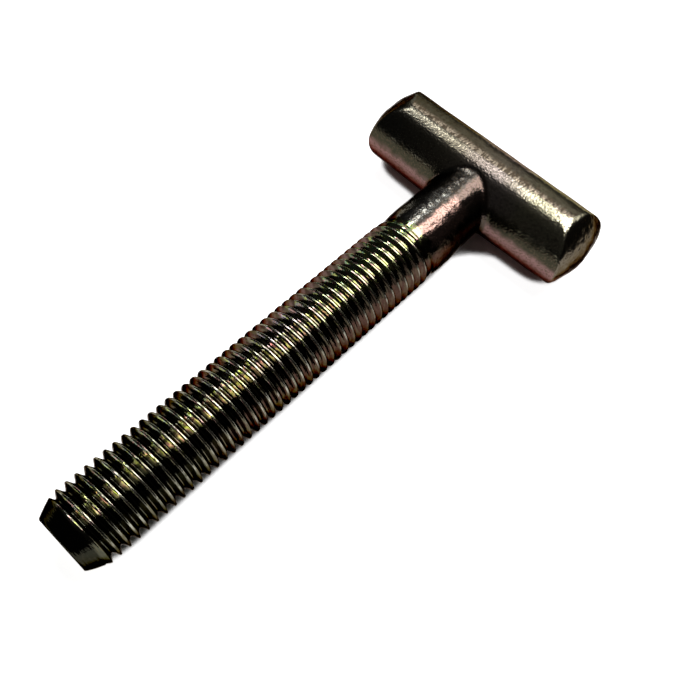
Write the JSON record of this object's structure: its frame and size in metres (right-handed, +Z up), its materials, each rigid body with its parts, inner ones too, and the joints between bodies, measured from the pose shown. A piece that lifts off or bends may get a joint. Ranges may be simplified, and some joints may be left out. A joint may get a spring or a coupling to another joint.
{
  "type": "t slot bolt",
  "caption": "T-head bolt with a round cross-bar head, short plain neck and a long right-hand metric thread, in yellow zinc-plated steel.",
  "frame": {"origin": "centre of the bolt's footprint, on the surface it lies on", "axes": "+X along the head's cross bar, +Y along the shank from the tip towards the head, +Z up; the shank rises 0.48 degrees from tip to head, as it rests"},
  "size_m": [0.0576, 0.1238, 0.0176],
  "materials": {
    "zinc_plated_steel": "forged and rolled steel, zinc plated with iridescent yellow passivation"
  },
  "bodies": {
    "root": {"t_bolt": "zinc_plated_steel"}
  },
  "joints": []
}
